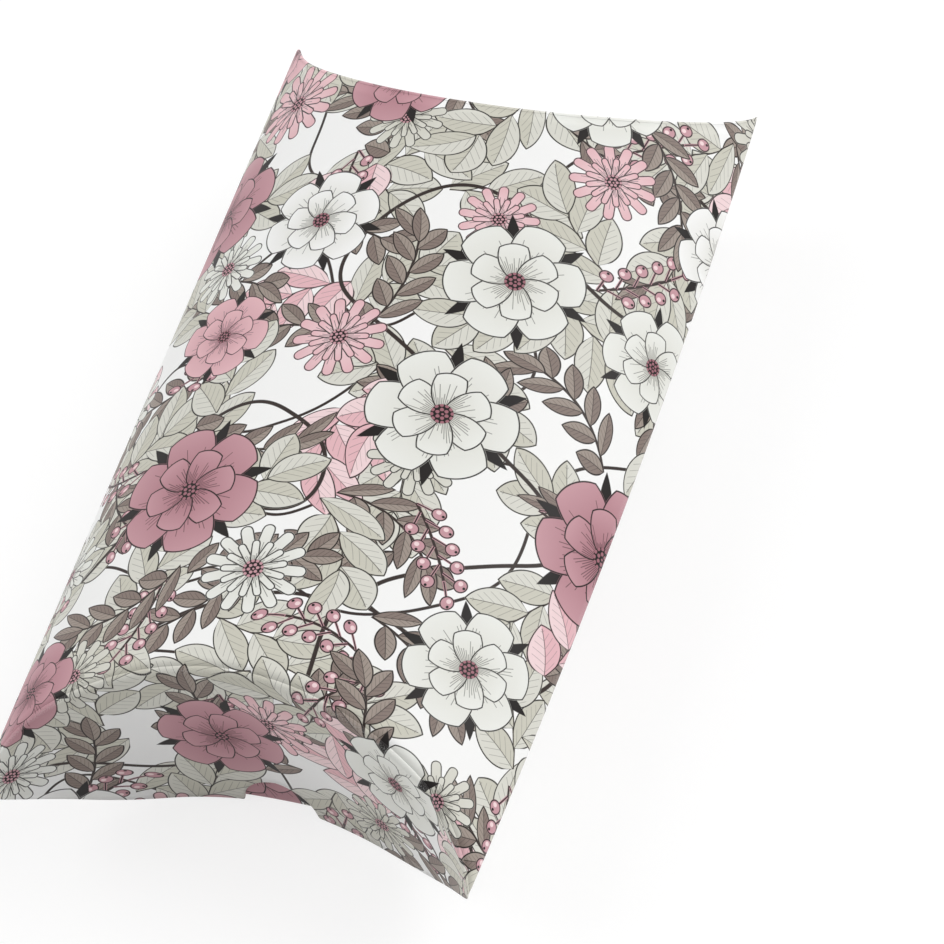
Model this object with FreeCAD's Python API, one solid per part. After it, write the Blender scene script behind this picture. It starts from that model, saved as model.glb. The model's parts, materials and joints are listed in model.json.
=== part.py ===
"""Pillow box: one die-cut sheet of printed board, glued along a side and closed by two flaps at each end.

Each panel bows across its width, and its ends are cut by curved creases.
Every flap is the mirror image of its panel in the plane of the crease, so it stands upright and hollow.
"""
import FreeCAD
import Part
import math
import os

# Driving dimensions, in millimetres and degrees
box_length = 240.0          # from corner to corner along a side fold
box_width = 130.0           # across the side folds, once erected
box_height = 60.0           # over the crowns of the two panels
board = 0.5                 # thickness of the board
crown_angle = 28.0          # slope where the wide crown arc meets the shoulder arc
fold_angle = 65.0           # slope where a panel meets the side fold
skirt_angle = 75.0          # slope to which arcs run on before they are trimmed

crease_gap = 0.3            # room between a panel and the flap that folds from it
flap_gap = 0.3              # least room between the outer and the inner flap

edge_lift = 2.0             # free edge of the outer flap above the surface that the box lies on
outer_straight = 60.0       # straight middle of the outer flap's free edge
outer_end_angle = 62.0      # slope of the crease where the outer flap begins
notch_radius = 10.0         # thumb notch
notch_round = 0.8           # rounding of its mouth

inner_length = 40.0         # from the crown of the crease to the free edge
inner_straight = 52.0       # straight middle of the inner flap's free edge
inner_end_angle = 52.0      # slope of the crease where the inner flap begins

tab_width = 13.0            # glue tab, measured along the board
tab_end = 14.0              # from the corner of the box to the end of the tab
tab_slant = 40.0            # angle by which its ends are cut back
glue_width = 7.0
glue_thickness = 0.15
glue_end = 4.0              # from the end of the tab's free edge to the end of the glue

overrun = 2.0               # how far cutting shapes stand proud of what they cut

# The bow of a panel: a wide crown arc and two shoulder arcs, tangent where they meet
half_length = box_length / 2
half_width = (box_width - board) / 2
rise = (box_height - board) / 2
half_board = board / 2
crown_turn = math.radians(crown_angle)
fold_turn = math.radians(fold_angle)
crown_run = math.sin(crown_turn)
crown_drop = 1 - math.cos(crown_turn)
shoulder_run = math.sin(fold_turn) - math.sin(crown_turn)
shoulder_drop = math.cos(crown_turn) - math.cos(fold_turn)
determinant = crown_run * shoulder_drop - crown_drop * shoulder_run
crown_radius = (half_width * shoulder_drop - rise * shoulder_run) / determinant
shoulder_radius = (rise * crown_run - half_width * crown_drop) / determinant
flat_width = 2 * (crown_radius * crown_turn + shoulder_radius * (fold_turn - crown_turn))

# The inner flap is set back so that it clears the outer one where both are steepest
inner_setback = (board + flap_gap) / math.cos(math.radians(inner_end_angle))
outer_length = rise + half_board + rise - edge_lift + half_board


def bow_point(angle, offset=0):
    """Point of the bow at a slope in degrees, moved out from the middle of the board."""
    turn = math.radians(angle)
    run = math.sin(turn)
    climb = math.cos(turn)
    if abs(angle) <= crown_angle:
        radius = crown_radius + offset
        return radius * run, rise - crown_radius + radius * climb
    side = math.copysign(1, angle)
    step = crown_radius - shoulder_radius
    radius = shoulder_radius + offset
    across = side * step * crown_run + radius * run
    return across, rise - crown_radius + step * math.cos(crown_turn) + radius * climb


def bow_edges(place, offset, end_angle):
    """Three tangent arcs from the left end to the right end of the bow."""
    edges = []
    stops = [-end_angle, -crown_angle, crown_angle, end_angle]
    for start, stop in zip(stops, stops[1:]):
        middle = (start + stop) / 2
        points = [place(*bow_point(angle, offset)) for angle in (start, middle, stop)]
        edges.append(Part.Arc(*points).toShape())
    return edges


def closed_face(edges):
    return Part.Face(Part.Wire(Part.__sortEdges__(edges)))


def band_face(place, outer, inner, end_angle):
    """Face between two offsets of the bow."""
    edges = bow_edges(place, outer, end_angle) + bow_edges(place, inner, end_angle)
    for side_angle in (-end_angle, end_angle):
        ends = [place(*bow_point(side_angle, offset)) for offset in (outer, inner)]
        edges.append(Part.LineSegment(*ends).toShape())
    return closed_face(edges)


def section(across, up):
    """Place a point of the bow in the cross-section of the box."""
    return FreeCAD.Vector(across, 0, up)


def plan(end, setback=0):
    """Place the bow in plan at one end of the box, -1 near and +1 far."""
    corner = half_length - setback
    return lambda across, inward: FreeCAD.Vector(across, end * (corner - inward), 0)


def along_length(face):
    """Run a cross-section right through the box."""
    reach = half_length + box_height
    face.translate(FreeCAD.Vector(0, -reach, 0))
    return face.extrude(FreeCAD.Vector(0, 2 * reach, 0))


def through_height(face):
    """Run a plan shape right through the box."""
    reach = box_height + overrun
    face.translate(FreeCAD.Vector(0, 0, -reach))
    return face.extrude(FreeCAD.Vector(0, 0, 2 * reach))


def upper_half():
    width = box_width + 2 * overrun
    length = box_length + 2 * overrun
    corner = FreeCAD.Vector(-width / 2, -length / 2, 0)
    return Part.makeBox(width, length, box_height, corner)


def turned_over(shape):
    """Mirror a shape from the front panel's side to the back panel's."""
    return shape.mirror(FreeCAD.Vector(0, 0, 0), FreeCAD.Vector(0, 0, 1))


def make_panel(setback):
    """Bowed panel that stops short of the flaps at its two curved creases."""
    panel = along_length(band_face(section, half_board, -half_board, skirt_angle))
    clear = half_board + crease_gap
    edges = []
    for end in (-1, 1):
        edges += bow_edges(plan(end, setback), clear, skirt_angle)
    for side_angle in (-skirt_angle, skirt_angle):
        ends = [plan(end, setback)(*bow_point(side_angle, clear)) for end in (-1, 1)]
        edges.append(Part.LineSegment(*ends).toShape())
    between_flaps = through_height(closed_face(edges))
    return panel.common(between_flaps).common(upper_half())


def free_edge(length, straight, corner):
    """Free edge of a flap: a straight middle with an arc up to the crease on each side."""
    corner_across, corner_up = corner
    edge_up = rise - length
    half_straight = straight / 2
    reach = corner_across - half_straight
    climb = corner_up - edge_up
    radius = (reach ** 2 + climb ** 2) / (2 * climb)
    half_turn = math.atan2(climb, reach)
    middle_across = half_straight + radius * math.sin(half_turn)
    middle_up = edge_up + radius * (1 - math.cos(half_turn))
    edges = []
    for side in (-1, 1):
        points = [
            section(side * corner_across, corner_up),
            section(side * middle_across, middle_up),
            section(side * half_straight, edge_up),
        ]
        edges.append(Part.Arc(*points).toShape())
    ends = [section(side * half_straight, edge_up) for side in (-1, 1)]
    edges.append(Part.LineSegment(*ends).toShape())
    return edges


def flap_outline(length, straight, end_angle):
    """Front view of a flap that hangs from the front panel's crease."""
    corner = bow_point(end_angle, half_board)
    return bow_edges(section, half_board, end_angle) + free_edge(length, straight, corner)


def thumb_notch(length):
    """Half-round notch in the middle of the free edge, with a rounded mouth."""
    edge_up = rise - length
    mouth = math.sqrt(notch_radius ** 2 + 2 * notch_radius * notch_round)
    touch_share = notch_radius / (notch_radius + notch_round)
    touch_across = mouth * touch_share
    touch_up = edge_up + notch_round * touch_share
    half_turn = math.atan2(mouth, notch_round) / 2
    round_across = mouth - notch_round * math.sin(half_turn)
    round_up = edge_up + notch_round * (1 - math.cos(half_turn))
    below = edge_up - overrun
    edges = []
    for side in (-1, 1):
        rounding = [
            section(side * mouth, edge_up),
            section(side * round_across, round_up),
            section(side * touch_across, touch_up),
        ]
        edges.append(Part.Arc(*rounding).toShape())
        drop = [section(side * mouth, edge_up), section(side * mouth, below)]
        edges.append(Part.LineSegment(*drop).toShape())
    arch = [
        section(-touch_across, touch_up),
        section(0, edge_up + notch_radius),
        section(touch_across, touch_up),
    ]
    edges.append(Part.Arc(*arch).toShape())
    edges.append(Part.LineSegment(section(-mouth, below), section(mouth, below)).toShape())
    return closed_face(edges)


def make_outer_flap(end):
    """Flap that closes an end from the outside, with the thumb notch in its free edge."""
    wall = through_height(band_face(plan(end), half_board, -half_board, outer_end_angle))
    outline = closed_face(flap_outline(outer_length, outer_straight, outer_end_angle))
    shape = outline.cut(thumb_notch(outer_length)).Faces[0]
    return wall.common(along_length(shape))


def make_inner_flap(end):
    """Shorter flap on the back panel that lies behind the outer one."""
    place = plan(end, inner_setback)
    wall = through_height(band_face(place, half_board, -half_board, inner_end_angle))
    outline = closed_face(flap_outline(inner_length, inner_straight, inner_end_angle))
    return turned_over(wall.common(along_length(outline)))


def shoulder_strip(outer, inner, start_angle, stop_angle):
    """Strip that follows the left shoulder from end to end, between two offsets of the bow."""
    middle = (start_angle + stop_angle) / 2
    edges = []
    for offset in (outer, inner):
        points = [section(*bow_point(-angle, offset)) for angle in (start_angle, middle, stop_angle)]
        edges.append(Part.Arc(*points).toShape())
    for angle in (start_angle, stop_angle):
        ends = [section(*bow_point(-angle, offset)) for offset in (outer, inner)]
        edges.append(Part.LineSegment(*ends).toShape())
    return along_length(closed_face(edges))


def shoulder_angle(distance):
    """Slope of the bow at a distance along the board from the side fold."""
    return fold_angle - math.degrees(distance / shoulder_radius)


def tab_plan(free_end):
    """Plan of the tab: its ends are cut back from the fold to the free edge."""
    fold_end = half_length - tab_end
    fold_side = half_width + overrun
    free_side = half_width - tab_width
    points = [
        FreeCAD.Vector(-fold_side, -fold_end, 0),
        FreeCAD.Vector(-fold_side, fold_end, 0),
        FreeCAD.Vector(-free_side, free_end, 0),
        FreeCAD.Vector(-free_side, -free_end, 0),
    ]
    return through_height(Part.Face(Part.makePolygon(points + points[:1])))


def make_glue_tab():
    """Tab that carries on from the back panel round the left fold and lies inside the front panel."""
    outer = -half_board - glue_thickness
    strip = shoulder_strip(outer, outer - board, fold_angle, shoulder_angle(tab_width))
    return strip.common(tab_plan(tab_free_end))


def make_glue_line():
    """Film of glue between the tab and the front panel."""
    margin = (tab_width - glue_width) / 2
    start = shoulder_angle(margin)
    stop = shoulder_angle(tab_width - margin)
    strip = shoulder_strip(-half_board, -half_board - glue_thickness, start, stop)
    reach = tab_free_end - glue_end
    length = 2 * reach
    corner = FreeCAD.Vector(-box_width, -reach, -box_height)
    return strip.common(Part.makeBox(box_width, length, 2 * box_height, corner))


tab_free_end = half_length - tab_end - (tab_width + overrun) * math.tan(math.radians(tab_slant))

nodes = {
    "front_panel": make_panel(0),
    "back_panel": turned_over(make_panel(inner_setback)),
    "glue_tab": make_glue_tab(),
    "glue_line": make_glue_line(),
}
for end_name, end in (("near", -1), ("far", 1)):
    nodes[end_name + "_outer_flap"] = make_outer_flap(end)
    nodes[end_name + "_inner_flap"] = make_inner_flap(end)

# The box lies on the crown of its back panel, which touches the ground at the origin
os.makedirs("parts", exist_ok=True)
for name, shape in nodes.items():
    shape.translate(FreeCAD.Vector(0, 0, box_height / 2))
    shape.exportStep("parts/" + name + ".step")
    box = shape.BoundBox
    sides = (round(box.XLength, 1), round(box.YLength, 1), round(box.ZLength, 1))
    print(name, "solids", len(shape.Solids), "valid", shape.isValid(), "sides", sides)

blank_width = 2 * flat_width + tab_width
blank_length = box_length - 2 * rise + 2 * outer_length
print("crown radius", round(crown_radius, 1), "shoulder radius", round(shoulder_radius, 1))
print("flat panel width", round(flat_width, 1), "blank", round(blank_width), "by", round(blank_length))
print("outer flap length", round(outer_length, 1), "inner setback", round(inner_setback, 2))
hinge_across = half_length - rise
hinge_up = box_height / 2 + rise
print("outer hinges at y", round(hinge_across, 3), "z", round(hinge_up, 3))
print("inner hinges at y", round(hinge_across - inner_setback, 3), "z", round(box_height - hinge_up, 3))
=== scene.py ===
# %% [markdown]
# # A printed pillow box
# A pillow box is one die-cut sheet of thin board. Two curved creases at each end let the panels bow and
# lock the flaps upright, and one glued side closes the sheet to a tube. The pieces here are the panels
# and flaps of that sheet. Each is laid out flat, as it lies on the printer's blank, and then folded up by
# a formula, so the board keeps its length and one printed design runs on over every crease.

# %% Load the frame
import json
import math

import bmesh
import bpy
from mathutils import Matrix, Vector


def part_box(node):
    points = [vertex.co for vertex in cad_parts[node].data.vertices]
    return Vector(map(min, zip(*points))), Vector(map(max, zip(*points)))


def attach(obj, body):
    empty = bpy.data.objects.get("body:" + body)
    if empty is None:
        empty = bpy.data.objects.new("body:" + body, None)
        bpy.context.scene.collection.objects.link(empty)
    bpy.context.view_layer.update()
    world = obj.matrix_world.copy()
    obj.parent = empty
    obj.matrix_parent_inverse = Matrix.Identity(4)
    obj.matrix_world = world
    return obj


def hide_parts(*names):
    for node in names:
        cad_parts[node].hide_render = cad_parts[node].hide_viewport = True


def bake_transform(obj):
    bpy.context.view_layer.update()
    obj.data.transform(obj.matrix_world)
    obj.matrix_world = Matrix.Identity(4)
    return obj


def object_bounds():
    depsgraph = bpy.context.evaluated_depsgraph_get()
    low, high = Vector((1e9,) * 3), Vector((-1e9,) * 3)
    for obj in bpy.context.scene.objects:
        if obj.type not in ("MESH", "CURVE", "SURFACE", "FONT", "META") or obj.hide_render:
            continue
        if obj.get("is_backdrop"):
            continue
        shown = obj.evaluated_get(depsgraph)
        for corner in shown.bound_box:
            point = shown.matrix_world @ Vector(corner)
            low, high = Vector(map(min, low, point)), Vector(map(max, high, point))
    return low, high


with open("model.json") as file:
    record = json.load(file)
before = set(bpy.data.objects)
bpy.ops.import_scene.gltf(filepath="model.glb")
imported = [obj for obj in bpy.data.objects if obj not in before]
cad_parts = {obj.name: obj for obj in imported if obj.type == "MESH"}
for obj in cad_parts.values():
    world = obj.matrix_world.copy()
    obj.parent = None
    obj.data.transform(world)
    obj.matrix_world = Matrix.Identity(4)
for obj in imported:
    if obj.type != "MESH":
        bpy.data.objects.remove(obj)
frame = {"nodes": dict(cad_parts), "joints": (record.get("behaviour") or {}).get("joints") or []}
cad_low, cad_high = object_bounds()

mm_in_metre = 1000


def mm(*sizes):
    """Sizes in metres, written out in millimetres for the messages."""
    return ", ".join(f"{mm_in_metre * size:.2f}" for size in sizes) + " mm"


print("the frame measures", mm(*(cad_high - cad_low)))

# %% [markdown]
# ## The bow of a panel
# Across its width each panel springs into a bow: a wide crown arc with a tighter shoulder arc on each
# side, down to the side folds. A cloth simulation could bend a flat sheet like that, but arcs give the
# same bow exactly. The width, the height and the length come from the frame, and two slopes fix how full
# the bow is. A place on the board is measured along the board from its middle line, so the shape can be
# unrolled again for the print.

# %% Sizes of the tube
board = 0.0005
crown_turn = math.radians(28)
fold_turn = math.radians(65)
quarter_turn = math.pi / 2
ridge_radius = 0.0008

joints = {joint["name"]: joint for joint in frame["joints"]}


def hinge_of(flap):
    """Point on the axis that a flap turns about."""
    return Vector(joints[flap + "_fold"]["pos_m"])


panel_low, panel_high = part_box("front_panel")
middle_height = (cad_low.z + cad_high.z) / 2
half_width = (panel_high.x - panel_low.x - board) / 2
rise = (cad_high.z - cad_low.z - board) / 2
half_length = rise - hinge_of("near_outer").y
inner_setback = hinge_of("near_inner").y - hinge_of("near_outer").y
print("half width", mm(half_width), "and rise", mm(rise))
print("half length", mm(half_length), "and setback of the inner flaps", mm(inner_setback))

# %% Radii of the bow
crown_run = math.sin(crown_turn)
crown_drop = 1 - math.cos(crown_turn)
shoulder_run = math.sin(fold_turn) - math.sin(crown_turn)
shoulder_drop = math.cos(crown_turn) - math.cos(fold_turn)
# The runs of the two arcs add up to half the width, and their drops to the rise.
determinant = crown_run * shoulder_drop - crown_drop * shoulder_run
crown_radius = (half_width * shoulder_drop - rise * shoulder_run) / determinant
shoulder_radius = (rise * crown_run - half_width * crown_drop) / determinant
crown_reach = crown_radius * crown_turn
half_sheet = crown_reach + shoulder_radius * (fold_turn - crown_turn)
ridge_start = half_sheet - ridge_radius * math.cos(fold_turn) / math.sin(fold_turn)
ridge_turn = crown_turn + (ridge_start - crown_reach) / shoulder_radius
ridge_end = ridge_start + ridge_radius * (quarter_turn - ridge_turn)
print("crown radius", mm(crown_radius), "and shoulder radius", mm(shoulder_radius))
print("a panel is", mm(2 * half_sheet), "wide along the board")


# %% Point of the bow
def bow(across):
    """Place across the box and height above its middle plane, for a distance along the board."""
    side = math.copysign(1, across)
    reach = abs(across)
    turn = min(reach, crown_reach) / crown_radius
    place = crown_radius * math.sin(turn)
    height = rise - crown_radius * (1 - math.cos(turn))
    if reach > crown_reach:
        turn = crown_turn + (min(reach, ridge_start) - crown_reach) / shoulder_radius
        place += shoulder_radius * (math.sin(turn) - math.sin(crown_turn))
        height -= shoulder_radius * (math.cos(crown_turn) - math.cos(turn))
    if reach > ridge_start:
        turn = ridge_turn + (reach - ridge_start) / ridge_radius
        place += ridge_radius * (math.sin(turn) - math.sin(ridge_turn))
        height -= ridge_radius * (math.cos(ridge_turn) - math.cos(turn))
    return side * place, height


print("the bow ends at", mm(*bow(ridge_end)))

# %% [markdown]
# ## Folding the blank
# At each end a crease crosses the panel as the same bow, seen from above. There the board turns a
# right angle and hangs down as a flap, so the flap is the mirror image of the panel in the plane of its
# crease. A printed board doesn't fold to a knife edge: it rolls over a small radius, which tightens
# towards the corners. The side that has no glue springs out a little at mid-length, as the eye sees
# on a box that has been erected by hand. On the glued side the board is double and stiff, and at the far
# end the crease stays a little fuller towards that corner. Turning the faces of a flat mesh could fold it
# too, but a formula can curve a crease as well, and it gives each point its place on the blank.

# %% Folding by formula
front, back = 1, -1
near, far = -1, 1
crease_radius = 0.0016
sharpest_radius = crease_radius / 100
corner_softness = 0.0020
corner_fill = 0.0018
corner_height = 0.0045
side_spring = 0.0030


def crease_at(across, setback, end):
    """How far out the crease runs and how sharply it is rolled; end is above 0 at the far end."""
    height = bow(across)[1]
    radius = crease_radius * height / (height + corner_softness)
    crease = half_length - setback - height
    if across < 0 < end:
        # The far crease is fullest where the left of the bow is as high as corner_height.
        rise_share = height / corner_height
        crease += corner_fill * rise_share * math.exp(1 - rise_share)
    return crease, max(radius, sharpest_radius)


def folded(across, along, face, setback, lean=0):
    """Middle of the board in the box, for a place on the flat blank of the front or the back."""
    place, height = bow(across)
    end = math.copysign(1, along)
    crease, radius = crease_at(across, setback, end)
    past = abs(along) - (crease - radius)
    out = abs(along)
    if past > 0:
        turn = min(past / radius, quarter_turn)
        hang = max(past - radius * quarter_turn, 0)
        out = crease - radius + radius * math.sin(turn)
        height -= radius * (1 - math.cos(turn)) + hang
        # The right half leans out, most of all at its end.
        right_share = max(place / half_width, 0)
        out += lean * hang * (right_share * (1 - right_share) + right_share ** 4)
    share = (place + half_width) / (2 * half_width)
    spring = side_spring * share ** 2 * (1 - (out / half_length) ** 2)
    return Vector((place + spring, end * out, middle_height + face * height))


def outward(across, along, face, setback, lean=0, step=2e-5):
    """Direction that the printed side faces there."""
    crosswise = folded(across + step, along, face, setback, lean)
    crosswise -= folded(across - step, along, face, setback, lean)
    lengthwise = folded(across, along + step, face, setback, lean)
    lengthwise -= folded(across, along - step, face, setback, lean)
    return face * crosswise.cross(lengthwise).normalized()


near_crown = folded(0, near * crease_at(0, 0, near)[0], front, 0)
print("crown of the near crease", mm(*near_crown))

# %% [markdown]
# ## From a grid to a piece of board
# Every piece starts as a grid with one column for each place across the blank and one row for each
# place along it, and the solidify operator gives it the thickness of the board. The grid's flat places
# are kept as a UV map in millimetres, which is where the print is drawn. The second panel comes after
# the first one on the blank, so its places are counted on past the fold that joins them. Faces take one
# of three finishes: print outside, bare board inside, and the cut edge all round. Unwrapping the folded
# box would give a UV map as well, but not one that runs on unbroken from a panel to its flaps.

# %% Round the creases
wear_and_highlight_reach = 0.0009
unturned_lean = math.radians(45)


def crease_roll(across, along, setback):
    """How far round the crease a place lies, from 0 on the panel to 1 on the flap."""
    crease, radius = crease_at(across, setback, math.copysign(1, along))
    return min(max((abs(along) - crease + radius) / (radius * quarter_turn), 0), 1)


def fold_wear_and_highlight(across, along, setback):
    """1 on a crease or a side fold, falling to 0 a little way into the flat board: where the print shows
    worn cracks and a painted highlight.
    """
    crease, radius = crease_at(across, setback, math.copysign(1, along))
    from_crease = abs(abs(along) - (crease - radius + radius * quarter_turn / 2))
    from_ridge = ridge_end - abs(across)
    return max(0.0, 1 - min(from_crease, from_ridge) / wear_and_highlight_reach)


def skin_step(across, along, face, setback, lean):
    """Step from the middle of the board to its printed side, for each metre of depth.

    On a flap the step swings round to point straight out of the end, so that the printed side stays
    outside when the flap is opened and its bow turns over.
    """
    roll = crease_roll(across, along, setback)
    step = outward(across, 0, face, setback) * (1 - roll)
    step.y += math.copysign(roll, along)
    return step / step.dot(outward(across, along, face, setback, lean))


def turn_share(point, hinge, face):
    """Share of a joint's turn that a point takes, by how far it leans out from under the hinge line."""
    out = math.copysign(1, hinge.y) * (point.y - hinge.y)
    down = face * (hinge.z - point.z)
    return min(max(1 - math.atan2(out, down) / unturned_lean, 0), 1)


# Worn cracks and a painted highlight reach this far across each crease.
print("the print is worn over", mm(2 * wear_and_highlight_reach), "at each crease")

# %% Board pieces from flat grids
PRINT_SIDE, BARE_SIDE, CUT_EDGE = range(3)
half_grid = 0.5


def blank_place(across, along, face):
    """Place on the printed blank in millimetres, counted through from the front panel to the back one."""
    counted = across if face == front else 2 * half_sheet - across
    return mm_in_metre * counted, mm_in_metre * along


def finish_of(side):
    """Which of the three finishes a face of the flat board takes, by the way it faces."""
    return {1: PRINT_SIDE, 0: CUT_EDGE, -1: BARE_SIDE}[round(side.normal.z)]


def add_to_scene(name, data):
    """New object in the scene, at the origin."""
    added = bpy.data.objects.new(name, data)
    bpy.context.scene.collection.objects.link(added)
    return added


def mesh_object(name, mesh_work):
    """New object with the shape that the mesh work ended in."""
    mesh = bpy.data.meshes.new(name)
    mesh_work.to_mesh(mesh)
    mesh_work.free()
    return add_to_scene(name, mesh)


def fold_board(name, columns, row_count, place_along, face, setback, lean=0, hinge=None):
    """Cut a piece of the blank as a grid, give it its thickness and fold it up."""
    mesh_work = bmesh.new()
    bmesh.ops.create_grid(mesh_work, x_segments=len(columns) - 1, y_segments=row_count - 1, size=half_grid)
    bmesh.ops.solidify(mesh_work, geom=mesh_work.faces[:], thickness=board)
    mesh_work.normal_update()
    blank = mesh_work.loops.layers.uv.new("blank")
    worn_and_highlit = mesh_work.verts.layers.float.new("crease")
    turning = mesh_work.verts.layers.float.new("turn")
    flat = {}
    for corner in mesh_work.verts:
        across = columns[round((corner.co.x + half_grid) * (len(columns) - 1))]
        row = round((corner.co.y + half_grid) * (row_count - 1))
        flat[corner] = (across, place_along(across, row))
    for side in mesh_work.faces:
        side.material_index = finish_of(side)
        side.smooth = side.material_index != CUT_EDGE
        for loop in side.loops:
            loop[blank].uv = blank_place(*flat[loop.vert], face)
    for corner, (across, along) in flat.items():
        depth = board / 2 + corner.co.z
        middle = folded(across, along, face, setback, lean)
        corner.co = middle + depth * skin_step(across, along, face, setback, lean)
        # Where pale cracks lie along the creases and side folds: partly wear, partly a painted highlight.
        corner[worn_and_highlit] = fold_wear_and_highlight(across, along, setback)
        if hinge:
            corner[turning] = turn_share(middle, hinge, face) * crease_roll(across, along, setback)
    bmesh.ops.recalc_face_normals(mesh_work, faces=mesh_work.faces[:])
    piece = mesh_object(name, mesh_work)
    print(name, len(piece.data.vertices), "points,", len(piece.data.polygons), "faces")
    return piece


# %% [markdown]
# ## The two panels
# A panel runs from crease to crease. On the right the two panels are one sheet, so both are carried
# round the fold until they meet in a rounded ridge. On the left the sheet was glued: there the back
# panel carries its ridge round to the hidden tab, and the front panel simply ends in its cut edge. One
# mesh for the whole tube would have no seam there, but each panel is a piece of its own in the frame.

# %% Panels
panel_columns = 120
panel_rows = 61
ridge_columns = 4
cut_edge_back = 0.0003


def spread(start, stop, count):
    """Evenly spaced places from start to stop, with both of them."""
    return [start + (stop - start) * index / count for index in range(count + 1)]


ridge_places = spread(ridge_start, ridge_end, ridge_columns)
front_columns = spread(cut_edge_back - half_sheet, ridge_start, panel_columns) + ridge_places[1:]
back_columns = [-place for place in reversed(ridge_places[1:])]
back_columns += spread(-ridge_start, ridge_start, panel_columns) + ridge_places[1:]


def panel_along(setback):
    """Rows of a panel: evenly spaced between the starts of its two creases."""
    def place(across, row):
        share = 2 * row / (panel_rows - 1) - 1
        crease, radius = crease_at(across, setback, share)
        return share * (crease - radius)
    return place


front_panel = fold_board("printed_front_panel", front_columns, panel_rows, panel_along(0),
                         face=front, setback=0)
back_panel = fold_board("printed_back_panel", back_columns, panel_rows, panel_along(inner_setback),
                        face=back, setback=inner_setback)

# %% [markdown]
# ## The end flaps
# The outer flap covers nearly the whole end. Its free edge is straight in the middle, rises in an arc to
# each corner, and has a half-round thumb notch with a softened mouth. The inner flap behind it is
# shorter and plain. A boolean could cut the notch, but it would leave long thin faces beside it. Here the
# free edge is a formula of the place across the box, so the last row of the grid simply ends there, and
# columns crowd together where the notch is steep.

# %% Free edges
outer_low, outer_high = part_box("near_outer_flap")
outer_length = outer_high.z - outer_low.z
outer_straight = 0.030
outer_end = math.radians(64.3)
notch_radius = 0.010
notch_round = 0.0008
notch_mouth = math.sqrt(notch_radius ** 2 + 2 * notch_radius * notch_round)
notch_touch = notch_mouth * notch_radius / (notch_radius + notch_round)
inner_low, inner_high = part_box("near_inner_flap")
inner_length = inner_high.z - inner_low.z
inner_straight = 0.026
inner_end = math.radians(52)


def sheet_reach(turn):
    """Distance along the board from the middle to a slope of the shoulder."""
    return crown_reach + shoulder_radius * (turn - crown_turn)


def free_edge(place, length, straight, end_reach):
    """Height of a flap's free edge over the middle plane, without its notch."""
    level = rise - length
    end_place, end_height = bow(end_reach)
    reach = end_place - straight
    climb = end_height - level
    radius = (reach ** 2 + climb ** 2) / (2 * climb)
    beyond = min(max(abs(place) - straight, 0), radius)
    return level + radius - math.sqrt(radius ** 2 - beyond ** 2)


def notch_climb(place):
    """How far the thumb notch lifts the free edge."""
    reach = abs(place)
    if reach >= notch_mouth:
        return 0
    if reach > notch_touch:
        return notch_round - math.sqrt(notch_round ** 2 - (notch_mouth - reach) ** 2)
    return math.sqrt(notch_radius ** 2 - reach ** 2)


print("the notch is", mm(2 * notch_mouth), "wide")
print("the outer flap is", mm(outer_length), "long and the inner one", mm(inner_length))

# %% Flaps
roll_rows = 9
hang_rows = 18
flap_rows = roll_rows + hang_rows + 1
flap_columns = 40
notch_columns = 48


def flap_along(end, length, straight, end_reach, setback, notched):
    """Rows of a flap: a few round the crease, the rest down to the free edge."""
    def place(across, row):
        crease, radius = crease_at(across, setback, end)
        start = crease - radius
        roll = radius * quarter_turn
        if row <= roll_rows:
            return end * (start + roll * row / roll_rows)
        across_box, height = bow(across)
        edge = free_edge(across_box, length, straight, end_reach)
        if notched:
            edge += notch_climb(across_box)
        hang = max(height - radius - edge, 0)
        return end * (start + roll + hang * (row - roll_rows) / hang_rows)
    return place


def flap_places(end_reach, notched):
    """Places across a flap, crowded together towards the sides of the notch."""
    if not notched:
        return spread(-end_reach, end_reach, 2 * flap_columns)
    wing = spread(notch_mouth, end_reach, flap_columns)
    notch = [notch_mouth * math.sin(turn) for turn in spread(-quarter_turn, quarter_turn, notch_columns)]
    return [-place for place in reversed(wing[1:])] + notch + wing[1:]


near_lean = 0.18
far_lean = 0.06
outer_reach = sheet_reach(outer_end)
inner_reach = sheet_reach(inner_end)
flaps = {}
for end_name, end, lean in (("near", near, near_lean), ("far", far, far_lean)):
    flaps[end_name + "_outer"] = fold_board(
        "printed_" + end_name + "_outer_flap", flap_places(outer_reach, notched=True), flap_rows,
        flap_along(end, outer_length, outer_straight, outer_reach, setback=0, notched=True),
        face=front, setback=0, lean=lean, hinge=hinge_of(end_name + "_outer"))
    flaps[end_name + "_inner"] = fold_board(
        "printed_" + end_name + "_inner_flap", flap_places(inner_reach, notched=False), flap_rows,
        flap_along(end, inner_length, inner_straight, inner_reach, setback=inner_setback, notched=False),
        face=back, setback=inner_setback, hinge=hinge_of(end_name + "_inner"))

# %% [markdown]
# ## Flaps and their share of the turn
# A flap can't swing stiffly about a straight hinge, because its crease is curved: as it opens, each strip
# turns about its own part of the crease, and the flap flattens into the bow of the panel. Seen from the
# hinge line at the crown, a strip that starts out at 45 degrees has not turned at all and one that hangs
# straight down has turned fully. That angle gives each point the share of the turn that keeps the board its
# true length at every opening, and each flap keeps it as its turn attribute. The panels are set on the body
# of the tube, and the flaps stay folded shut.

# %% Bodies of the pieces
for panel, node in ((front_panel, "front_panel"), (back_panel, "back_panel")):
    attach(panel, "tube")
    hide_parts(node)

for end_name, end in (("near", near), ("far", far)):
    for layer, face in (("outer", front), ("inner", back)):
        flap = flaps[end_name + "_" + layer]
        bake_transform(flap)
        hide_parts(end_name + "_" + layer + "_flap")
print("panels ride on the tube,", len(flaps), "flaps bend with their joints")

# %% [markdown]
# ## Formulas as nodes
# The print is drawn by the material itself, from the flat places of the blank, so it needs no picture and
# stays sharp. That takes long formulas, and writing out a node and its links for every sum would be hard
# to read. So a small class stands for the wire that leaves a socket and carries a number over the sheet:
# adding or multiplying wires adds the math node and its links. All lengths in the print are millimetres.


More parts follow.
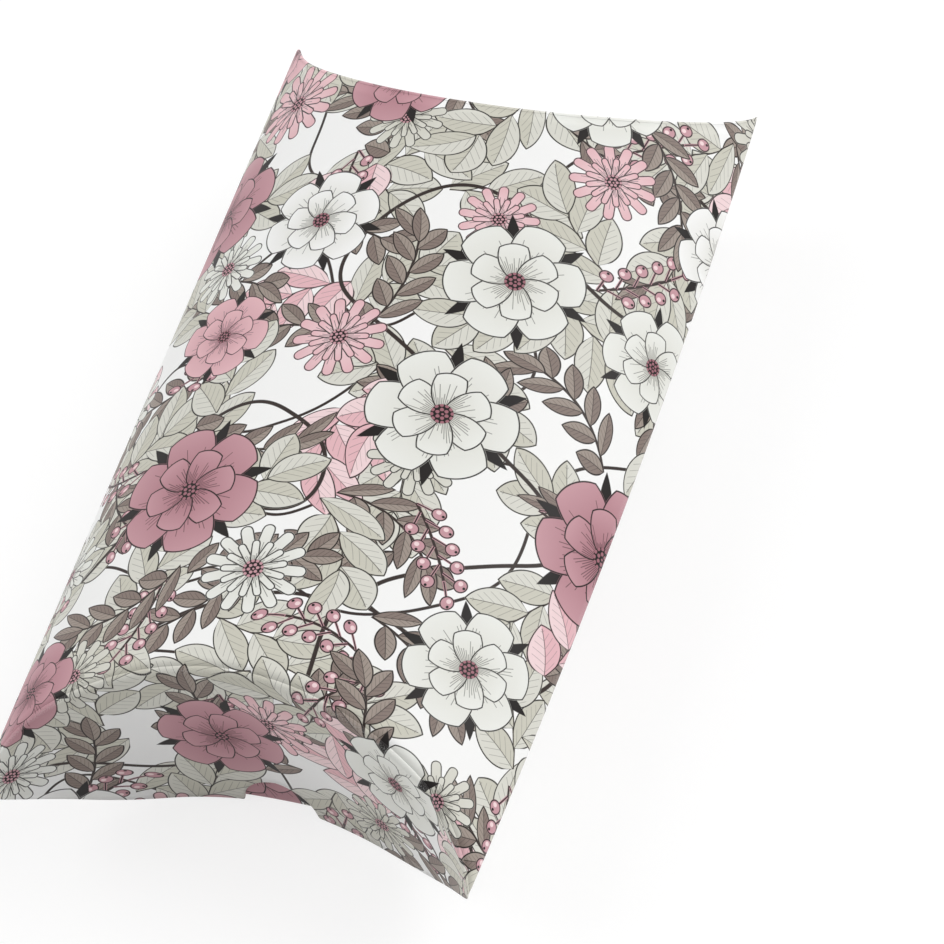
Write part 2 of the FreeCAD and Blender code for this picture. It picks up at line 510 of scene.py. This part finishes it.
# %% A number that changes over the sheet
class Wire:
    """A number or a colour that changes over the surface, as it leaves a node's socket."""

    def __init__(self, socket):
        self.socket = socket

    def worked(self, operation, *others):
        """What a math node makes of this number and the others."""
        node = self.socket.id_data.nodes.new("ShaderNodeMath")
        node.operation = operation
        for slot, value in zip(node.inputs, (self,) + others):
            plug(value, slot)
        return Wire(node.outputs[0])

    def __add__(self, other):
        return self.worked("ADD", other)

    def __sub__(self, other):
        return self.worked("SUBTRACT", other)

    def __mul__(self, other):
        return self.worked("MULTIPLY", other)

    def __truediv__(self, other):
        return self.worked("DIVIDE", other)

    def __abs__(self):
        return self.worked("ABSOLUTE")

    def root(self):
        return self.worked("SQRT")

    def least(self, other):
        return self.worked("MINIMUM", other)

    def most(self, other):
        return self.worked("MAXIMUM", other)


def plug(value, slot):
    """Link a wire to a socket, or set a fixed number or colour on it."""
    if isinstance(value, Wire):
        slot.id_data.links.new(value.socket, slot)
    else:
        slot.default_value = value


def add_node(tree, kind, inputs=(), **settings):
    """Add a node with its settings and what goes into its sockets."""
    node = tree.nodes.new(kind)
    for setting, value in settings.items():
        setattr(node, setting, value)
    for slot, value in dict(inputs).items():
        plug(value, node.inputs[slot])
    return node


print("beside plain sums, a wire has", [name for name in vars(Wire) if not name.startswith("__")])

# %% Soft edges and mixed colours
edge_blur = 0.10
# A Mix node lists its sockets for numbers, vectors and colours in turn, so these go by number.
MIX_SHARE, MIX_UNDER, MIX_OVER = 0, 6, 7
MIX_COLOUR = 2


def distance(x, y):
    """Distance of a place from the origin."""
    return (x * x + y * y).root()


def within(gap):
    """1 inside a shape and 0 outside it, with a soft edge; gap is the distance from its outline."""
    ramp = add_node(gap.socket.id_data, "ShaderNodeMapRange",
                    {"Value": gap, "From Min": edge_blur, "From Max": -edge_blur},
                    interpolation_type="SMOOTHSTEP", clamp=False)
    return Wire(ramp.outputs["Result"])


def mixed(share, under, over):
    """Colour over another one, by a share of 0 to 1."""
    node = add_node(share.socket.id_data, "ShaderNodeMix", data_type="RGBA")
    for slot, value in ((MIX_SHARE, share), (MIX_UNDER, under), (MIX_OVER, over)):
        plug(value, node.inputs[slot])
    return Wire(node.outputs[MIX_COLOUR])


print("printed edges are", 2 * edge_blur, "mm soft")

# %% [markdown]
# ## Colours of the print
# A few soft inks on white board: greyed sage for leaves, taupe for twigs, dusty pinks, cream and plum for
# blossoms and berries, and a brown-black for the drawn lines. They are written as the eye names them, in
# sRGB steps, and turned to the linear values that nodes work with.


# %% Inks
def ink(red, green, blue):
    """Colour in sRGB steps of 0 to 255, turned to a socket's linear colour by the sRGB formula."""
    steps = [step / 255 for step in (red, green, blue)]
    linear = [step / 12.92 if step <= 0.04045 else ((step + 0.055) / 1.055) ** 2.4 for step in steps]
    return (*linear, 1)


white_board = ink(246, 246, 245)
pen_line = ink(22, 17, 16)
stem_ink = ink(50, 41, 38)
sage = ink(203, 201, 188)
pale_sage = ink(217, 216, 207)
taupe = ink(158, 146, 137)
dark_taupe = ink(133, 119, 112)
dusty_pink = ink(198, 152, 160)
light_pink = ink(228, 184, 190)
pale_pink = ink(240, 214, 216)
cream = ink(235, 236, 231)
plum = ink(160, 108, 118)
print("white board", [round(value, 3) for value in white_board[:3]])

# %% [markdown]
# ## Drawn shapes: leaf, berry and petal
# Every motif is a pen drawing filled with ink, so a shape says where it covers the sheet, where its lines
# run and how its tone changes. A leaf is the lens between two circle arcs. The distance from its outline
# is known exactly, which gives the pen line an even width, and a midrib and slanted side veins make it a
# drawn leaf. A berry is a circle on a stalk. A petal is the same lens as a leaf, cut off by a round tip,
# with fine strokes that fan out from its foot. Each is a node group, drawn once and used many times.

# %% Node groups
FLOAT = "NodeSocketFloat"
COLOUR = "NodeSocketColor"
drawn_inputs = {"Along": FLOAT, "Across": FLOAT}
drawn_outputs = {"Cover": FLOAT, "Line": FLOAT, "Tone": FLOAT}


def start_group(name, inputs, outputs):
    """New node group; returns its tree, its inputs by name and the node that takes its results."""
    tree = bpy.data.node_groups.new(name, "ShaderNodeTree")
    for label, kind in inputs.items():
        tree.interface.new_socket(name=label, in_out="INPUT", socket_type=kind)
    for label, kind in outputs.items():
        tree.interface.new_socket(name=label, in_out="OUTPUT", socket_type=kind)
    entry = tree.nodes.new("NodeGroupInput")
    result = tree.nodes.new("NodeGroupOutput")
    return tree, {label: Wire(entry.outputs[label]) for label in inputs}, result


def end_group(result, **values):
    """Give a node group its results."""
    for label, value in values.items():
        plug(value, result.inputs[label])


def use_group(tree, group, **values):
    """Put a node group to use; returns its results in order."""
    node = add_node(tree, "ShaderNodeGroup", node_tree=group)
    for label, value in values.items():
        plug(value, node.inputs[label])
    return [Wire(output) for output in node.outputs]


print("a drawn shape gives", list(drawn_outputs))

# %% Drawn leaf
pen_half = 0.18
vein_half = 0.08
midrib_share = 0.93
vein_slant = 1.25
vein_squeeze = 0.62
vein_margin = 0.25
vein_strength = 0.7


def lens(along, across, length, half_breadth):
    """Distance from the outline of a lens that starts at 0 and points along."""
    half = length / 2
    radius = (half ** 2 + half_breadth ** 2) / (2 * half_breadth)
    return distance(along - half, abs(across) + (radius - half_breadth)) - radius


def make_leaf(name, length, half_breadth, vein_gap):
    """Drawn leaf: where it covers, its pen lines, and which half is in shade."""
    tree, given, result = start_group(name, drawn_inputs, drawn_outputs)
    along, across = given["Along"], given["Across"]
    gap = lens(along, across, length, half_breadth)
    outline = within(abs(gap) - pen_half)
    midrib = within((abs(across) - vein_half).most(along - midrib_share * length))
    slant = (along - abs(across) * vein_slant) / vein_gap
    vein = abs(slant.worked("FRACT") - 0.5) * vein_gap * vein_squeeze - vein_half / 2
    veins = within(vein.most(gap + vein_margin * half_breadth)) * vein_strength
    end_group(result, Cover=within(gap - pen_half), Line=outline.most(midrib).most(veins),
              Tone=across.worked("GREATER_THAN", 0))
    return tree


twig_leaf_length = 10.5
spray_leaf_length = 16
twig_leaf = make_leaf("twig leaf", twig_leaf_length, half_breadth=2.3, vein_gap=1.5)
spray_leaf = make_leaf("spray leaf", spray_leaf_length, half_breadth=4.3, vein_gap=2.5)
print("leaves are", twig_leaf_length, "and", spray_leaf_length, "mm long")

# %% Drawn berry
eye_place = 0.62
eye_radius = 0.22
spot_back = 0.2
spot_aside = 0.3
spot_radius = 0.36


def make_berry(name, length, radius):
    """Drawn berry on its stalk, with a light spot on one side and a dark eye at its tip."""
    tree, given, result = start_group(name, drawn_inputs, drawn_outputs)
    along, across = given["Along"], given["Across"]
    middle = along - (length - radius)
    gap = distance(middle, across) - radius
    stalk = (abs(across) - pen_half).most(abs(along - length / 2) - length / 2)
    eye = within(distance(middle - eye_place * radius, across) - eye_radius * radius)
    spot = within(distance(middle + spot_back * radius, across - spot_aside * radius) - spot_radius * radius)
    outline = within(abs(gap) - pen_half).most(eye).most(within(stalk.most(gap * -1)))
    end_group(result, Cover=within(gap.least(stalk) - pen_half), Line=outline, Tone=spot)
    return tree


berry_length = 7.5
berry = make_berry("berry", berry_length, radius=1.7)
print("a berry is", berry_length, "mm long with its stalk")

# %% Drawn petal
round_middle = 0.44
round_taper = 1.32
narrow_tip = 0.8
narrow_taper = 1.2
fan_slope = 0.42
fan_foot = 0.10
stroke_least = 0.26
stroke_range = 0.48
stroke_margin = 0.3
stroke_strength = 0.8
seed_step = 57


def make_petal(name, length, half_breadth, round_tip, strokes):
    """Drawn petal: where it covers, its pen lines, and its tone from the foot to the tip."""
    tree, given, result = start_group(name, {**drawn_inputs, "Seed": FLOAT}, drawn_outputs)
    along, across = given["Along"], given["Across"]
    if round_tip:
        tip = distance(along - round_middle * length, across) - (1 - round_middle) * length
        gap = lens(along, across, round_taper * length, half_breadth).most(tip)
    else:
        end_radius = narrow_tip * half_breadth
        tip = distance((along - (length - end_radius)).most(0), across) - end_radius
        gap = lens(along, across, narrow_taper * length, half_breadth).most(tip)
    fan = along * fan_slope + fan_foot * length
    ray = across / fan * strokes
    row = ray.worked("ROUND")
    chance = add_node(tree, "ShaderNodeTexWhiteNoise", {"W": row + given["Seed"] * seed_step},
                      noise_dimensions="1D")
    stop = Wire(chance.outputs["Value"]) * stroke_range * length + stroke_least * length
    stroke = (abs(ray - row) * fan / strokes - vein_half).most(along - stop).most(gap + stroke_margin)
    lines = within(abs(gap) - pen_half).most(within(stroke) * stroke_strength)
    end_group(result, Cover=within(gap - pen_half), Line=lines, Tone=along / length)
    return tree


print("strokes end between", stroke_least, "and", stroke_least + stroke_range, "of a petal")

# %% [markdown]
# ## Sprigs
# A sprig is a bent stem with leaves or berries on both sides in turn and one at its tip. Folding the plane
# along the stem, and again from leaf to leaf, draws all its leaves with a single leaf shape. The leaf before
# is drawn too, underneath, because it reaches on past the foot of the next one. Drawing every leaf by itself
# would take several times the nodes.

# %% Sprig motif
motif_inputs = {"X": FLOAT, "Y": FLOAT, "Chance": FLOAT, "Turn": FLOAT, "Kind": FLOAT}
motif_outputs = {"Colour": COLOUR, "Cover": FLOAT}
leaf_lean = math.radians(42)
stem_half = 0.40
stem_share = 0.84
stem_bend = 1.6
tip_room = 0.75
other_from = 0.8


def turned(x, y, angle):
    """The same place seen from axes turned by an angle."""
    cosine, sine = angle.worked("COSINE"), angle.worked("SINE")
    return x * cosine + y * sine, y * cosine - x * sine


def laid_over(under, over):
    """A drawn layer over another: its colour and the ground that both cover."""
    return mixed(over[1], under[0], over[0]), under[1].most(over[1])


def make_sprig(name, leaf, leaf_length, length, spacing, inks, other_inks):
    """Sprig of one leaf or berry shape, inked and shaded; other inks colour a fifth of the sprigs."""
    tree, given, result = start_group(name, motif_inputs, motif_outputs)
    x, y = turned(given["X"], given["Y"], given["Turn"] * math.tau)
    y = y - x * x * (given["Kind"] - 0.5) * (stem_bend / length)
    up_stem = x + length / 2
    lower = y.worked("LESS_THAN", 0)
    station = (up_stem + lower * (spacing / 2)) / spacing
    first = station.worked("FLOOR")
    cosine, sine = math.cos(leaf_lean), math.sin(leaf_lean)
    other = given["Kind"].worked("GREATER_THAN", other_from)
    fill = mixed(other, inks[0], other_inks[0])
    shade = mixed(other, inks[1], other_inks[1])
    half_stem = stem_share * length / 2
    stem = (abs(y) - stem_half).most(abs(up_stem - half_stem) - half_stem)
    drawn = (mixed(within(stem), fill, stem_ink), within(stem))
    last_station = math.floor((length - tip_room * leaf_length) / spacing)
    for earlier in (1, 0):
        foot = (station - first + earlier) * spacing
        along = foot * cosine + abs(y) * sine
        across = abs(y) * cosine - foot * sine
        cover, line, tone = use_group(tree, leaf, Along=along, Across=across)
        # Stations are whole numbers, so a half or a quarter keeps the comparisons clear of rounding.
        number = first - earlier
        on_stem = (number - lower * 0.5).worked("GREATER_THAN", -0.25)
        grown = on_stem * number.worked("LESS_THAN", last_station + 0.5)
        leaf_colour = mixed(line, mixed(tone, fill, shade), pen_line)
        drawn = laid_over(drawn, (leaf_colour, cover * grown))
    cover, line, tone = use_group(tree, leaf, Along=up_stem - (length - leaf_length), Across=y)
    drawn = laid_over(drawn, (mixed(line, mixed(tone, fill, shade), pen_line), cover))
    end_group(result, Colour=drawn[0], Cover=drawn[1])
    return tree


twig = make_sprig("twig", twig_leaf, twig_leaf_length, length=39, spacing=7.5,
                  inks=(taupe, dark_taupe), other_inks=(taupe, dark_taupe))
spray = make_sprig("leaf spray", spray_leaf, spray_leaf_length, length=37, spacing=10,
                   inks=(sage, pale_sage), other_inks=(light_pink, pale_pink))
berries = make_sprig("berry sprig", berry, berry_length, length=30, spacing=5,
                     inks=(dusty_pink, pale_pink), other_inks=(plum, light_pink))
for sprig in (twig, spray, berries):
    print("sprig", sprig.name, len(sprig.nodes), "nodes")

# %% [markdown]
# ## Blossoms
# An open blossom is two rings of petals round a dotted centre, and its size varies by chance. The plane is
# folded into equal wedges, one to a petal, so one petal shape serves the whole ring. The petals on each side
# are drawn as well, one underneath and one on top, so that each petal tucks under the next one all the way
# round. The large blossom has round petals and dark sepals between them, and the daisy narrow petals alone.

# %% Petals, sepals and centre
sepal_length = 1.14
sepal_half = 0.12
dot_gap = 1.15
dot_radius = 0.38
dots_in_ring = 6
above_zero = 0.001


def petal_ring(tree, petal, reach, angle, count, start, seed, foot, tip):
    """One ring of overlapping petals, inked from the foot to the tip."""
    wedge = math.tau / count
    turn = angle / wedge + start
    own = turn.worked("ROUND")
    lean = (turn - own) * wedge
    drawn = None
    for step in (1, 0, -1):
        offset = lean - step * wedge
        along = reach * offset.worked("COSINE")
        across = reach * offset.worked("SINE")
        cover, line, tone = use_group(tree, petal, Along=along, Across=across, Seed=own + step + seed)
        layer = (mixed(line, mixed(tone, foot, tip), pen_line), cover)
        drawn = layer if drawn is None else laid_over(drawn, layer)
    return drawn


def over_sepals(drawn, reach, angle, count, start, size):
    """The petals with dark pointed sepals under them, one between each two."""
    wedge = math.tau / count
    between = angle / wedge + start + 0.5
    aside = (between - between.worked("ROUND")) * wedge
    sepal = lens(reach * aside.worked("COSINE"), reach * aside.worked("SINE"),
                 sepal_length * size, sepal_half * size)
    return mixed(drawn[1], pen_line, drawn[0]), drawn[1].most(within(sepal))


def dotted_centre(reach, angle, radius, centre_ink):
    """Round centre with rings of dots on a dark ground."""
    ring = (reach / dot_gap).worked("ROUND")
    seats = ring * dots_in_ring + above_zero
    seat = angle / math.tau * seats
    aside = (seat - seat.worked("ROUND")) * math.tau * reach / seats
    dot = within(distance(reach - ring * dot_gap, aside) - dot_radius * dot_gap)
    centre = within(reach - radius)
    return mixed(dot, pen_line, centre_ink), centre


def pick(chance, inks):
    """One of several inks, by chance."""
    colour = inks[0]
    for index, other in enumerate(inks[1:], 1):
        colour = mixed(chance.worked("GREATER_THAN", index / len(inks)), colour, other)
    return colour


print("dots stand", dot_gap, "mm apart")

# %% Blossom motif
inner_size = 0.64
inner_breadth = 0.62
outer_strokes = 7
inner_strokes = 6
size_least = 0.78
size_range = 0.5
outer_seed = 9
inner_seed = 5


def make_blossom(name, size, count, half_share, sepals, feet, tips, centre_share, centre_ink):
    """Blossom of two rings; size is an outer petal's length, and the inks at feet and tips go by chance."""
    tree, given, result = start_group(name, motif_inputs, motif_outputs)
    outer = make_petal(name + " outer petal", size, half_share * size, sepals, outer_strokes)
    inner = make_petal(name + " inner petal", inner_size * size, half_share * inner_breadth * size, sepals,
                       inner_strokes)
    reach = distance(given["X"], given["Y"]) / (given["Chance"] * size_range + size_least)
    angle = given["Y"].worked("ARCTAN2", given["X"])
    start = given["Turn"]
    foot = pick(given["Kind"], feet)
    tip = pick(given["Kind"], tips)
    seed = given["Chance"]
    lower = petal_ring(tree, outer, reach, angle, count, start, seed * outer_seed, foot, tip)
    upper = petal_ring(tree, inner, reach, angle, count, start + 0.5, seed * inner_seed, foot, tip)
    drawn = laid_over(lower, upper)
    if sepals:
        drawn = over_sepals(drawn, reach, angle, count, start, size)
    drawn = laid_over(drawn, dotted_centre(reach, angle, centre_share * size, centre_ink))
    end_group(result, Colour=drawn[0], Cover=drawn[1])
    return tree


rose = make_blossom("open blossom", size=17, count=6, half_share=0.36, sepals=True,
                    feet=(pale_sage, plum, pale_sage, dusty_pink, pale_sage),
                    tips=(cream, dusty_pink, white_board, light_pink, cream),
                    centre_share=0.15, centre_ink=plum)
daisy = make_blossom("daisy", size=13, count=13, half_share=0.15, sepals=False,
                     feet=(sage, pale_sage, pale_pink, sage, sage),
                     tips=(pale_sage, cream, light_pink, pale_sage, cream),
                     centre_share=0.2, centre_ink=dusty_pink)
print("blossoms", rose.name, len(rose.nodes), "nodes,", daisy.name, len(daisy.nodes), "nodes")

# %% [markdown]
# ## Scattering the motifs
# A Voronoi texture divides the blank into cells, and each cell hands out its middle and three random
# numbers. Each motif is drawn about the middle of its cell, turned by chance. A motif may be wider than
# its cell, so the two nearest cells are drawn at every place, and chance says which of them is on top.
# A tile that repeats would be simpler, but the eye finds the repeat on a box of this size.

# %% Cells of a layer
VECTOR = "NodeSocketVector"
disorder = 0.55


def make_cells(name, cell, tilt, shift, feature):
    """Cells of one layer: the place on its turned grid, the middle of the cell and three random numbers."""
    tree, _, result = start_group(name, {}, {"Grid": VECTOR, "Middle": VECTOR, "Dice": COLOUR})
    blank = add_node(tree, "ShaderNodeUVMap", uv_map="blank")
    grid = add_node(tree, "ShaderNodeMapping", {"Vector": Wire(blank.outputs[0]), "Location": (*shift, 0),
                                                "Rotation": (0, 0, tilt), "Scale": (1 / cell, 1 / cell, 1)})
    place = Wire(grid.outputs[0])
    cells = add_node(tree, "ShaderNodeTexVoronoi", {"Vector": place, "Scale": 1, "Randomness": disorder},
                     voronoi_dimensions="2D", feature=feature)
    end_group(result, Grid=place, Middle=Wire(cells.outputs["Position"]), Dice=Wire(cells.outputs["Color"]))
    return tree


print("cells stray by", disorder, "of their size")


# %% Scattered layer
def vector_math(tree, operation, first, second):
    """What a vector math node makes of two vectors."""
    node = add_node(tree, "ShaderNodeVectorMath", {0: first, 1: second}, operation=operation)
    return Wire(node.outputs["Value" if operation == "DOT_PRODUCT" else "Vector"])


def scattered_layer(tree, under, motif, cell, tilt, shift, kept):
    """Draw a motif all over the blank, over what is printed already, in the share of cells that is kept."""
    layers = []
    for feature in ("F1", "F2"):
        cells = make_cells(motif.name + " cells", cell, tilt, shift, feature)
        grid, middle, dice = use_group(tree, cells)
        offset = vector_math(tree, "SUBTRACT", grid, middle)
        x = vector_math(tree, "DOT_PRODUCT", offset, (cell, 0, 0))
        y = vector_math(tree, "DOT_PRODUCT", offset, (0, cell, 0))
        numbers = add_node(tree, "ShaderNodeSeparateColor", {0: dice})
        chance, turn, kind = [Wire(output) for output in numbers.outputs]
        colour, cover = use_group(tree, motif, X=x, Y=y, Chance=chance, Turn=turn, Kind=kind)
        layers.append((colour, cover * chance.worked("LESS_THAN", kept), chance))
    (own, own_cover, own_chance), (other, other_cover, other_chance) = layers
    own_on_top = own_chance.worked("GREATER_THAN", other_chance)
    lower_cover = own_cover + (other_cover - own_cover) * own_on_top
    upper_cover = other_cover + (own_cover - other_cover) * own_on_top
    lower = mixed(own_on_top, own, other)
    upper = mixed(own_on_top, other, own)
    return mixed(upper_cover, mixed(lower_cover, under, lower), upper)


print("motifs to scatter", [motif.name for motif in (spray, twig, berries, daisy, rose)])

# %% [markdown]
# ## The printed side
# The layers are printed in order: thin wandering stems, leaf sprays, thicker branches, twigs, more sprays,
# berries, more twigs, daisies and open blossoms. Each layer covers what lies under it, as in a drawing.
# Satin-coated board has a soft sheen, a faint unevenness, and fine pale cracks in the print where it was
# creased.
# Those cracks are partly worn board and partly a painted highlight of each crease.

# %% Unevenness, stems, and cracks with a painted highlight
slope_probe = 0.4
least_slope = 0.004
middle_level = 0.5
# The pale cracks along the creases are partly wear and partly a painted highlight.
crack_and_highlight_scale = 3.2
crack_and_highlight_level = 0.52
crack_and_highlight_strength = 0.18


def new_material(name):
    """New node material; returns it, its node tree and its shader."""
    material = bpy.data.materials.new(name)
    material.use_nodes = True
    return material, material.node_tree, material.node_tree.nodes["Principled BSDF"]


def fine_bump(tree, shader, scale, strength, height):
    """Fine unevenness of the surface, from noise on the object's own coordinates."""
    place = Wire(add_node(tree, "ShaderNodeTexCoord").outputs["Object"])
    grain = add_node(tree, "ShaderNodeTexNoise", {"Vector": place, "Scale": scale, "Detail": 3})
    bump = add_node(tree, "ShaderNodeBump", {"Strength": strength, "Distance": height,
                                             "Height": Wire(grain.outputs[0])})
    plug(Wire(bump.outputs[0]), shader.inputs["Normal"])
    return Wire(grain.outputs[0])


def stem_lines(tree, sheet, scale, shift):
    """Distance in millimetres from wandering lines: the mid-level contour of a smooth noise."""
    heights = []
    for aside, ahead in ((0, 0), (slope_probe, 0), (0, slope_probe)):
        moved = add_node(tree, "ShaderNodeMapping",
                         {"Vector": sheet, "Location": (shift + aside, shift + ahead, 0)})
        hills = add_node(tree, "ShaderNodeTexNoise",
                         {"Vector": Wire(moved.outputs[0]), "Scale": 1 / scale, "Detail": 0},
                         noise_dimensions="2D")
        heights.append(Wire(hills.outputs[0]))
    slope = distance(heights[1] - heights[0], heights[2] - heights[0]) / slope_probe
    return abs(heights[0] - middle_level) / slope.most(least_slope)


def cracked_and_highlit(tree, sheet, colour):
    """The print with fine pale cracks along its creases and folds, partly worn board and partly a painted
    highlight of the creases' sheen.
    """
    worn_and_highlit = Wire(add_node(tree, "ShaderNodeAttribute", attribute_name="crease").outputs["Fac"])
    grain = add_node(tree, "ShaderNodeTexNoise", {"Vector": sheet, "Scale": crack_and_highlight_scale, "Detail": 1},
                     noise_dimensions="2D")
    crack_and_highlight_mask = within(Wire(grain.outputs[0]) * -1 + crack_and_highlight_level)
    # Paler towards the board along the creases: worn cracks, and also a painted highlight.
    return mixed(worn_and_highlit * crack_and_highlight_mask * crack_and_highlight_strength, colour, white_board)


print("cracks show the board by", crack_and_highlight_strength)

# %% Print material
thin_stem = 0.42
thick_stem = 0.55

printed, print_tree, print_shader = new_material("floral_print")
blank_map = add_node(print_tree, "ShaderNodeUVMap", uv_map="blank")
sheet = Wire(blank_map.outputs[0])
stems = stem_lines(print_tree, sheet, scale=46, shift=17)
colour = mixed(within(stems - thin_stem), white_board, stem_ink)
colour = scattered_layer(print_tree, colour, spray, cell=34, tilt=0.4, shift=(3.3, 7.1), kept=1.0)
branches = stem_lines(print_tree, sheet, scale=58, shift=71)
colour = mixed(within(branches - thick_stem), colour, stem_ink)
colour = scattered_layer(print_tree, colour, twig, cell=36, tilt=1.1, shift=(11.7, 2.9), kept=0.72)
colour = scattered_layer(print_tree, colour, spray, cell=40, tilt=2.0, shift=(23.1, 15.2), kept=0.85)
colour = scattered_layer(print_tree, colour, berries, cell=38, tilt=2.6, shift=(15.4, 27.7), kept=0.6)
colour = scattered_layer(print_tree, colour, twig, cell=56, tilt=0.9, shift=(32.6, 4.8), kept=0.7)
colour = scattered_layer(print_tree, colour, daisy, cell=44, tilt=0.7, shift=(5.5, 31.3), kept=0.6)
colour = scattered_layer(print_tree, colour, rose, cell=50, tilt=0.2, shift=(41.9, 8.4), kept=0.8)
# The last step pales the creases: worn cracks and a painted highlight.
plug(cracked_and_highlit(print_tree, sheet, colour), print_shader.inputs["Base Color"])
print_shader.inputs["Roughness"].default_value = 0.45
print_shader.inputs["Specular IOR Level"].default_value = 0.19
fine_bump(print_tree, print_shader, scale=900, strength=0.05, height=0.0002)
print("print", len(print_tree.nodes), "nodes")

# %% [markdown]
# ## Bare board and cut edge
# Inside, the board is left unprinted: a matt white with the faint cloudiness of pressed fibre. Its cut
# edge shows the pulp, slightly warmer and rougher. The glue that holds the tab dries to a pale yellowish
# film. All three drift between two close colours, because a single flat one would look like plastic.

# %% Board materials
board_shade = ink(238, 238, 236)
pulp_shade = ink(226, 224, 218)
pulp_light = ink(246, 245, 241)
glue_shade = ink(214, 208, 190)
glue_light = ink(232, 228, 214)


def cloudy_material(name, shade, light, scale, strength, height, roughness):
    """Material that drifts between two colours, with a fine unevenness to match."""
    material, tree, shader = new_material(name)
    cloud = fine_bump(tree, shader, scale, strength, height)
    plug(mixed(cloud, shade, light), shader.inputs["Base Color"])
    shader.inputs["Roughness"].default_value = roughness
    return material


bare = cloudy_material("bare_board", board_shade, white_board,
                       scale=420, strength=0.10, height=0.0002, roughness=0.72)
cut = cloudy_material("cut_board_edge", pulp_shade, pulp_light,
                      scale=2600, strength=0.25, height=0.0001, roughness=0.85)
glue = cloudy_material("dried_glue", glue_shade, glue_light,
                       scale=160, strength=0.2, height=0.0003, roughness=0.3)
for piece in (front_panel, back_panel, *flaps.values()):
    # In the order of PRINT_SIDE, BARE_SIDE and CUT_EDGE.
    for finish in (printed, bare, cut):
        piece.data.materials.append(finish)
for node, finish in (("glue_tab", bare), ("glue_line", glue)):
    mesh = frame["nodes"][node].data
    mesh.materials.clear()
    mesh.materials.append(finish)
print("finishes", [finish.name for finish in (printed, bare, cut, glue)])

# %% [markdown]
# ## Floor, light and camera
# The box lies on a plain white floor between two soft lamps: a window behind it on the right, and a
# weaker reflector on the left. A pale surround lifts the shade of the upright near end, and light may
# bounce as often as the renderer allows, because the white inside of an opened box is lit mostly by bounces.
# The floor shows white to the camera and still takes the soft shadow of the box. The camera's place and
# directions were matched to the corners and edges of the box in the photo.

# %% Floor
floor_size = 6
floor_tone = 0.88
seen_tone = 0.26
seen_glow = 0.76


def grey(tone):
    """Grey of a socket."""
    return tone, tone, tone, 1


def seen_rays(tree):
    """1 where the camera, a reflection or a clear piece looks straight at a surface, and 0 for its light."""
    sight = add_node(tree, "ShaderNodeLightPath")
    seen = Wire(sight.outputs["Is Camera Ray"]).most(Wire(sight.outputs["Is Glossy Ray"]))
    return seen.most(Wire(sight.outputs["Is Transmission Ray"]))


floor_work = bmesh.new()
bmesh.ops.create_grid(floor_work, x_segments=1, y_segments=1, size=floor_size / 2)
floor = mesh_object("floor", floor_work)
floor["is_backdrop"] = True
paper, paper_tree, paper_shader = new_material("white_floor")
seen = seen_rays(paper_tree)
plug(mixed(seen, grey(floor_tone), grey(seen_tone)), paper_shader.inputs["Base Color"])
paper_shader.inputs["Roughness"].default_value = 0.9
paper_shader.inputs["Emission Color"].default_value = grey(1)
plug(seen * seen_glow, paper_shader.inputs["Emission Strength"])
floor.data.materials.append(paper)
print("floor", floor_size, "m wide")

# %% Light
surround = 0.43
lamp_height = math.radians(35)
lamp_spread = math.radians(50)
window_energy = 1.94
window_azimuth = math.radians(45)
reflector_energy = 1.02
reflector_azimuth = math.radians(180)

world = bpy.data.worlds.new("pale_surround")
world.use_nodes = True
backdrop = world.node_tree.nodes["Background"]
backdrop.inputs["Color"].default_value = grey(1)
plug(seen_rays(world.node_tree) * (1 - surround) + surround, backdrop.inputs["Strength"])
bpy.context.scene.world = world
bpy.context.scene.cycles.diffuse_bounces = bpy.context.scene.cycles.max_bounces
for name, energy, azimuth in (("window", window_energy, window_azimuth),
                              ("reflector", reflector_energy, reflector_azimuth)):
    lamp = bpy.data.lights.new(name, "SUN")
    lamp.energy = energy
    lamp.angle = lamp_spread
    lamp_object = add_to_scene(name, lamp)
    level_way = Vector((math.cos(azimuth), math.sin(azimuth), 0))
    light_from = level_way * math.cos(lamp_height) + Vector((0, 0, math.sin(lamp_height)))
    lamp_object.rotation_euler = light_from.to_track_quat("Z", "Y").to_euler()
    print(name, "shines from", [round(value, 2) for value in light_from])

# %% Camera
camera_place = Vector((0.46462, -0.70061, 1.1235))
camera_ahead = Vector((-0.32004, 0.50983, -0.79853)).normalized()
camera_right = Vector((0.93371, 0.31253, -0.17467)).normalized()
camera_up = camera_right.cross(camera_ahead)
camera = bpy.data.cameras.new("camera")
camera.lens = 207.7
camera.sensor_width = 36
camera.clip_end = 20
camera_object = add_to_scene("camera", camera)
axes = Matrix((camera_right, camera_up, -camera_ahead)).transposed()
camera_object.matrix_world = Matrix.Translation(camera_place) @ axes.to_4x4()
bpy.context.scene.camera = camera_object
bpy.context.scene.view_settings.view_transform = "Standard"
print("camera", round(camera_place.length, 2), "m away")

# %% [markdown]
# ## The size of the model
# The boxes of the plain frame and of the finished model are gathered, and the size of the model is printed.

# %% Finish
size = {"cad": [list(cad_low), list(cad_high)], "visual": [list(corner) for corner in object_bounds()]}
print("the visual model measures", mm(*(high - low for low, high in zip(*size["visual"]))))
